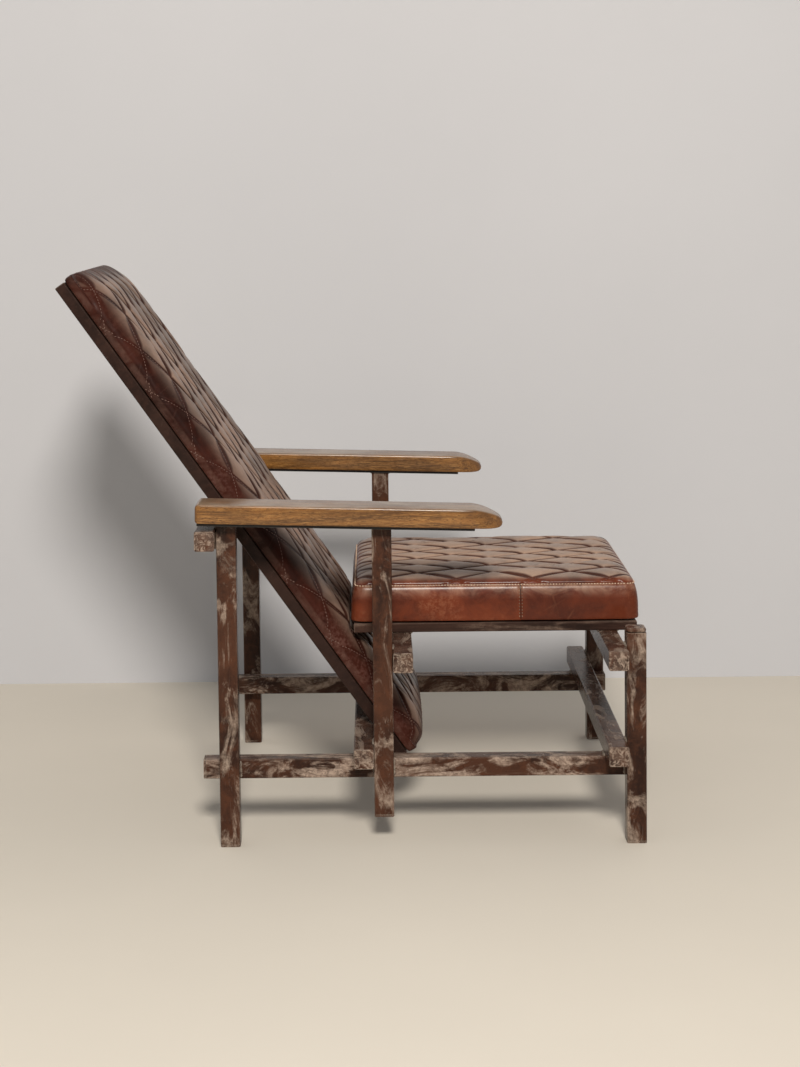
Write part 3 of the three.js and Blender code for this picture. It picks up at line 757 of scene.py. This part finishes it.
def addStitches(store, path, normals, thread):
    arc, sides = arcLength(path), thread["sides"]
    if arc[-1] < 2 * thread["length"]:
        return
    count = int((arc[-1] - thread["length"]) / thread["pitch"]) + 1
    share, lift, girth = np.array(stitchBow)
    at = (np.arange(count) * thread["pitch"])[:, None] + share * thread["length"]
    spot = alongPath(at, arc, path)
    up = unit(alongPath(at, arc, normals))
    side = unit(np.cross(up, unit(spot[:, -1:] - spot[:, :1])))
    spot = spot + up * (lift * thread["radius"])[None, :, None]
    turns = np.arange(sides) * 2 * math.pi / sides
    ring = np.cos(turns)[:, None] * up[:, :, None] + np.sin(turns)[:, None] * side[:, :, None]
    beads = spot[:, :, None] + ring * (girth * thread["radius"])[None, :, None, None]
    base = sum(len(p) for p in store["points"])
    store["points"].append(beads.reshape(-1, 3))
    for stitch in range(count):
        store["faces"] += tubeFaces(base + stitch * len(share) * sides, len(share), sides)


def coverTree(made):
    return BVHTree.FromObject(made.piece, bpy.context.evaluated_depsgraph_get())


def sewRow(store, tree, made, origins, heading, thread):
    spots, ups = [], []
    direction = Vector(np.array(heading, float) @ made.axes)
    for origin in origins @ made.axes + made.origin:
        spot, up, _, _ = tree.ray_cast(Vector(origin), direction)
        if spot is not None:
            spots.append(spot)
            ups.append(up)
    if len(spots) > 3:
        addStitches(store, np.array(spots), np.array(ups), thread)


def threadPiece(name, store, finish):
    piece = meshObject(name, np.concatenate(store["points"]), store["faces"], finish)
    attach(piece, "root")
    print("sewn", name, len(piece.data.polygons), "faces")


def quiltThreads(made, pad, name, finish):
    tree, store = coverTree(made), newStore()
    top, curveU, curveV = padTop(pad, made.size)
    endU, endV = curveU[0][-1], curveV[0][-1]
    long, wide = pad["diamond"]
    most = int(2 * endU / long + 2 * endV / wide) + 2
    along = np.arange(-endU, endU, quiltThread["step"])
    for slant in (1, -1):
        for k in range(-(most | 1), most + 1, 2):
            across = slant * (k - 2 * along / long) * wide / 2
            inside = (np.abs(across) < endV - pad["threadEnd"]) & (np.abs(along) < endU - pad["threadEnd"])
            if inside.sum() > 6:
                u, v = ontoPlan(along[inside], curveU), ontoPlan(across[inside], curveV)
                u, v = wander(u, v, edgeDistance(u, v, *top), pad)
                sewRow(store, tree, made, triples(u, v, rayAbove), (0, 0, -1), quiltThread)
    threadPiece(name, store, finish)


def sideDrop(made, pad, thread):
    return np.arange(thread["from"], pad["seam"] - made.lip - thread["short"], thread["step"])


def sewSides(made, pad, rows, thread):
    tree, store = coverTree(made), newStore()
    height = pad["seam"] - sideDrop(made, pad, thread)
    for hand in (1, -1):
        for u in rows:
            row = triples(u, hand * (made.size[1] + rayBeside), height)
            sewRow(store, tree, made, row, (0, -hand, 0), thread)
    return store


def backSides(made, pad):  # the back's cover is quilted down its sides too
    long, wide = pad["diamond"]
    endU, endV = made.size[0] - sideThread["clear"], padTop(pad, made.size)[2][0][-1]
    drop = sideDrop(made, pad, sideThread)
    rows = [long / 2 * (k - slant * 2 * (endV + drop) / wide) for slant in (1, -1) for k in range(-39, 40, 2)]
    rows = [u for u in rows if abs(u).max() < endU]
    threadPiece("back_side_thread", sewSides(made, pad, rows, sideThread), rubbedLitThread)


def rimPath(made, pad, thread):
    topU, topV, r = padTop(pad, made.size)[0]
    reach, path = r + thread["outward"], []
    for cornerU, cornerV, start in ((1, -1, -90), (1, 1, 0), (-1, 1, 90), (-1, -1, 180)):
        for turn in np.radians(np.linspace(start, start + 90, 9)):
            path.append((cornerU * (topU - r) + reach * math.cos(turn),
                         cornerV * (topV - r) + reach * math.sin(turn), pad["seam"] - thread["drop"]))
    path = np.array(path + path[:1])
    arc = arcLength(path)
    return alongPath(np.arange(0, arc[-1], thread["step"]), arc, path)


def seatSeams(made, pad):
    store = newStore()
    around = rimPath(made, pad, seamThread)
    outU, outV = edgeNormals(around[:, 0], around[:, 1])
    facing = triples(outU, outV, seamThread["tilt"])
    addStitches(store, around @ made.axes + made.origin, facing @ made.axes, seamThread)
    threadPiece("seat_seam_thread", store, paleThread)
    planU = np.interp(pad["joinAt"], *padTop(pad, made.size)[1])
    rows = (planU - joinRow["apart"], planU + joinRow["apart"])
    threadPiece("seat_join_thread", sewSides(made, pad, rows, joinRow), joinThread)


quiltThreads(seatQuilt, seatPad, "seat_quilt_thread", brownThread)
quiltThreads(backQuilt, backPad, "back_quilt_thread", rubbedLitThread)
backSides(backQuilt, backPad)
seatSeams(seatQuilt, seatPad)


# armrests: a flat board with softened edges whose top is carved down to a blunt nose

armShape = {"noseLength": 46 * mm, "noseDrop": 15 * mm, "noseWidth": 0.34, "noseFoot": 0.58,
            "noseLift": 3 * mm, "topRound": 3 * mm, "underRound": 2.6 * mm, "endRound": 5 * mm,
            "step": 16 * mm}
roundSteps = (0, 0.25, 0.5, 0.75, 1)


def roundedSection(halfTop, halfLow, low, top, look, shrink):
    foot = (halfLow - shrink, low + shrink, look["underRound"])
    head = (halfTop - shrink, top - shrink, look["topRound"])
    corners = [(-foot[0], *foot[1:]), foot, head, (-head[0], *head[1:])]
    ring = []
    for k, (y, z, radius) in enumerate(corners):
        here, before, after = Vector((y, z)), Vector(corners[k - 1][:2]), Vector(corners[(k + 1) % 4][:2])
        start = here + (before - here).normalized() * min(radius, (before - here).length * 0.4)
        end = here + (after - here).normalized() * min(radius, (after - here).length * 0.4)
        ring += [(1 - t) ** 2 * start + 2 * t * (1 - t) * here + t * t * end for t in roundSteps]
    return ring


def carvedArm(side, look):
    name = "armrest_" + side
    centre, axes = panelAxes("arm_strap_" + side, name)
    (rear, right, base), (tip, left, crest) = nodeBox(name, centre, axes)
    middle, half = (right + left) / 2, (left - right) / 2
    rounding, noseLength = look["endRound"], look["noseLength"]
    ends = rounding * np.array([0, 0.12, 0.4, 1])
    body = np.linspace(rear + rounding * 2, tip - noseLength, int((tip - rear - noseLength) / look["step"]))
    nose = tip - noseLength * (1 - np.linspace(0.06, 0.88, 14))
    stations = np.concatenate([rear + ends, body, nose, tip - ends[::-1]])
    points = []
    for along in stations:
        toEnd = min(along - rear, tip - along)
        shrink = rounding - math.sqrt(max(0, 1 - max(0, 1 - toEnd / rounding) ** 2)) * rounding
        t = max(0, 1 - (tip - along) / noseLength)
        top = crest - look["noseDrop"] * (0.2 * t + 0.8 * t * t)
        halfTop = half * (1 - (1 - look["noseWidth"]) * (0.3 * t + 0.7 * t * t))
        halfLow = half * (1 - (1 - look["noseFoot"]) * t ** 3)
        under = base + look["noseLift"] * t ** 6
        ring = roundedSection(halfTop, halfLow, under, top, look, shrink)
        points += [np.array([along, middle + y, z]) @ axes + centre for y, z in ring]
    faces = tubeFaces(0, len(stations), 4 * len(roundSteps), flip=True)
    piece = meshObject("carved_arm_" + side, points, faces, armrestWood)
    for face in piece.data.polygons:
        face.use_smooth = len(face.vertices) == 4
    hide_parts(name)
    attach(piece, "root")


for side in hands:
    carvedArm(side, armShape)
print("arms carved")


# weld beads along the inner corners where two bars meet

weldLook = {"radius": 2.4 * mm, "ripple": 3.2 * mm, "sides": 8, "touch": 1.5 * mm, "beyond": 4 * mm,
            "overlap": 10 * mm, "inset": 2 * mm, "lumps": 180, "lump": 0.35, "wave": 0.14,
            "panelRadius": 2 * mm, "railIn": 1 * mm, "postInset": 3 * mm, "postRim": 6 * mm}


def addBead(store, start, end, look):
    start, end = np.array(start), np.array(end)
    run = end - start
    length = np.linalg.norm(run)
    run = run / length
    first = unit(np.cross(run, [0.31, 0.52, 0.79]))  # any direction that no bar runs in
    second = np.cross(run, first)
    sides, base = look["sides"], len(store["points"])
    count = max(6, int(length / (look["ripple"] / 3)))
    for k in range(count + 1):
        t = k / count
        spot = start + run * length * t
        lump = noise.noise(Vector(spot * look["lumps"])) * look["lump"]
        lump += look["wave"] * math.cos(t * length / look["ripple"] * 2 * math.pi)
        taper = math.sqrt(max(0.06, min(1, min(t, 1 - t) * length / look["radius"])))
        radius = look["radius"] * (1 + lump) * taper
        for j in range(sides):
            turn = 2 * math.pi * j / sides
            store["points"].append(spot + radius * (math.cos(turn) * first + math.sin(turn) * second))
    store["faces"] += tubeFaces(base, count + 1, sides, flip=True)


def weldJoint(store, one, two, look):
    (lowA, highA), (lowB, highB) = nodeBox(one), nodeBox(two)
    low, high = np.maximum(lowA, lowB), np.minimum(highA, highB)
    for axis in range(3):
        others = [k for k in range(3) if k != axis]
        meet = all(high[k] - low[k] > look["overlap"] for k in others)
        if meet and abs(high[axis] - low[axis]) < look["touch"]:
            run = 1 if axis != 1 else 2
            across = next(k for k in others if k != run)
            for level, past in ((low, lowA - lowB), (high, highA - highB)):
                if abs(past[across]) > look["beyond"]:
                    start = (low + high) / 2
                    start[across] = level[across]
                    end = start.copy()
                    start[run], end[run] = low[run] + look["inset"], high[run] - look["inset"]
                    addBead(store, start, end, look)


def hasWord(name, *words):
    return any(word in name for word in words)


def weldBeads(look):
    store, inset, postInset = newStore(), look["inset"], look["postInset"]
    onPanel = {**look, "radius": look["panelRadius"]}
    bars = [name for name in solids if hasWord(name, "post", "rail", "seat_frame")
            and not hasWord(name, "_cap_", "_foot", "_cross_", "_top")]
    for k, one in enumerate(bars):
        for two in bars[k + 1:]:
            if not ("seat_frame" in one and "seat_frame" in two):
                weldJoint(store, one, two, look)
    for side in hands:
        low, high = nodeBox("back_frame_" + side)
        for rail in ("top_rear_rail", "lower_rear_rail"):
            x, _, z = nodeBox(rail)[1] - look["railIn"]
            addBead(store, (x, low[1] + inset, z), (x, high[1] - inset, z), onPanel)
        for post in ("rear_post_", "middle_post_"):
            corners = nodePoints(post + side)
            x, y = corners[:, 0], corners[:, 1]
            for rim in (x.min(), x.max()):
                level = corners[np.abs(x - rim) < look["postRim"]][:, 2].max()
                addBead(store, (rim, y.min() + postInset, level), (rim, y.max() - postInset, level), look)
    piece = meshObject("weld_beads", store["points"], store["faces"], weldSteel)
    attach(piece, "root")
    print("welded", len(store["faces"]), "faces")


weldBeads(weldLook)


# button-head screws up through the straps into the arms

screwHead = {"radius": 4.6 * mm, "height": 2.3 * mm, "socket": 1.7 * mm, "depth": 1.4 * mm, "count": 4,
             "margin": 60 * mm, "sides": 24,
             "profile": [(0.6, -0.5), (1, -0.2), (1, 0.25), (0.93, 0.55), (0.76, 0.85), (0.5, 1)]}


def strapScrews(look):
    sides, height = look["sides"], look["height"]
    turns = [2 * math.pi * j / sides for j in range(sides)]
    sixth = math.pi / 3
    hexed = [look["socket"] * math.cos(sixth / 2) / math.cos(turn % sixth - sixth / 2) for turn in turns]
    levels = [([wide * look["radius"]] * sides, deep * height) for wide, deep in look["profile"]]
    levels += [(hexed, height * 0.98), (hexed, height - look["depth"])]
    points, faces = [], []
    for side in hands:
        centre, axes = panelAxes("arm_strap_" + side, "armrest_" + side)
        low, high = nodeBox("arm_strap_" + side, centre, axes)
        middle = (low[1] + high[1]) / 2
        for along in np.linspace(low[0] + look["margin"], high[0] - look["margin"], look["count"]):
            faces += tubeFaces(len(points), len(levels), sides)
            for radii, depth in levels:
                for radius, turn in zip(radii, turns):
                    spot = (along + radius * math.cos(turn), middle + radius * math.sin(turn), low[2] - depth)
                    points.append(np.array(spot) @ axes + centre)
    piece = meshObject("strap_screws", points, faces, strapBlack)
    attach(piece, "root")


strapScrews(screwHead)
print("screws set")


# floor, wall, light and camera

stageLook = {"floor": (0.72, 0.66, 0.57), "wall": (0.585, 0.58, 0.595), "haze": (0.56, 0.54, 0.52),
             "wallAt": 0.717, "reach": 14, "rough": 0.9, "shine": 0.2}


def stageSurface(name, corners, look, oneSided):
    material, n, shader = newMaterial(name)
    tone = n.effect(stageTone)["Tone"]
    n.put(shader, {"Base Color": n.blend(1, look[name], tone, "MULTIPLY"), "Roughness": look["rough"],
                   "Specular IOR Level": look["shine"]})
    if oneSided:  # seen from behind, the wall is open
        behind = n.add("NewGeometry")["Backfacing"]
        clear = n.add("BsdfTransparent")[0]
        both = n.add("MixShader", {0: behind, 1: shader.outputs[0], 2: clear})[0]
        n.put(n.tree.nodes["Material Output"], {"Surface": both})
    piece = meshObject(name, corners, [(0, 1, 2, 3)], material)
    piece.visible_shadow = not oneSided


reach, wallAt = stageLook["reach"], stageLook["wallAt"]
square = [(-reach, -reach), (reach, -reach), (reach, reach), (-reach, reach)]
stageSurface("floor", [(x, y, 0) for x, y in square], stageLook, False)
stageSurface("wall", [(x, wallAt, max(y, 0)) for x, y in square], stageLook, True)

lightRig = {"toward": (-0.09, 1.6, -1), "aim": (0, 0, 0.4), "distance": 5, "size": 0.9, "power": 225,
            "tint": (1, 0.955, 0.89), "world": (0.93, 0.965, 1), "worldStrength": 0.3}
toward = Vector(lightRig["toward"]).normalized()
lampData = bpy.data.lights.new("softKey", "AREA")
lampData.shape, lampData.size = "DISK", lightRig["size"]
lampData.energy, lampData.color = lightRig["power"], lightRig["tint"]
lamp = bpy.data.objects.new("softKey", lampData)
lamp.location = Vector(lightRig["aim"]) - toward * lightRig["distance"]
lamp.rotation_euler = toward.to_track_quat("-Z", "Y").to_euler()
scene.collection.objects.link(lamp)
world = bpy.data.worlds.new("paleRoom")
world.use_nodes = True
room = Nodes(world.node_tree)
lit = world.node_tree.nodes["Background"]
room.put(lit, {"Color": lightRig["world"], "Strength": lightRig["worldStrength"]})
seen = room.add("Background", {"Color": stageLook["haze"], "Strength": 1})[0]
ray = room.add("LightPath")
mirrored = room.calc("ADD", ray["Is Glossy Ray"], ray["Is Transmission Ray"])
shown = room.calc("ADD", ray["Is Camera Ray"], mirrored, True)
mixed = room.add("MixShader", {0: shown, 1: lit.outputs[0], 2: seen})[0]
room.put(world.node_tree.nodes["World Output"], {"Surface": mixed})
scene.world = world
scene.view_settings.view_transform = "Standard"

# the photograph is a crop, so its optical axis is off the middle of the picture
photoCamera = {"at": (0.04328, -3.2514, 0.99891), "yaw": -0.379, "pitch": 3.744, "roll": 0.681,
               "focal": 1976.8, "axis": (361.8, 318.1), "width": 800, "height": 1067}


def photoView(shot):
    yaw, pitch, roll = (math.radians(shot[key]) for key in ("yaw", "pitch", "roll"))
    data = bpy.data.cameras.new("photoView")
    longest = shot["height"]
    data.lens = data.sensor_width * shot["focal"] / longest
    data.shift_x = (shot["width"] / 2 - shot["axis"][0]) / longest
    data.shift_y = (shot["axis"][1] - shot["height"] / 2) / longest
    camera = bpy.data.objects.new("photoView", data)
    camera.matrix_world = Matrix.Translation(shot["at"])
    for angle, axis in ((-yaw, "Z"), (math.pi / 2 - pitch, "X"), (-roll, "Z")):
        camera.matrix_world = camera.matrix_world @ Matrix.Rotation(angle, 4, axis)
    scene.collection.objects.link(camera)
    scene.camera = camera


photoView(photoCamera)
print("camera and light set")
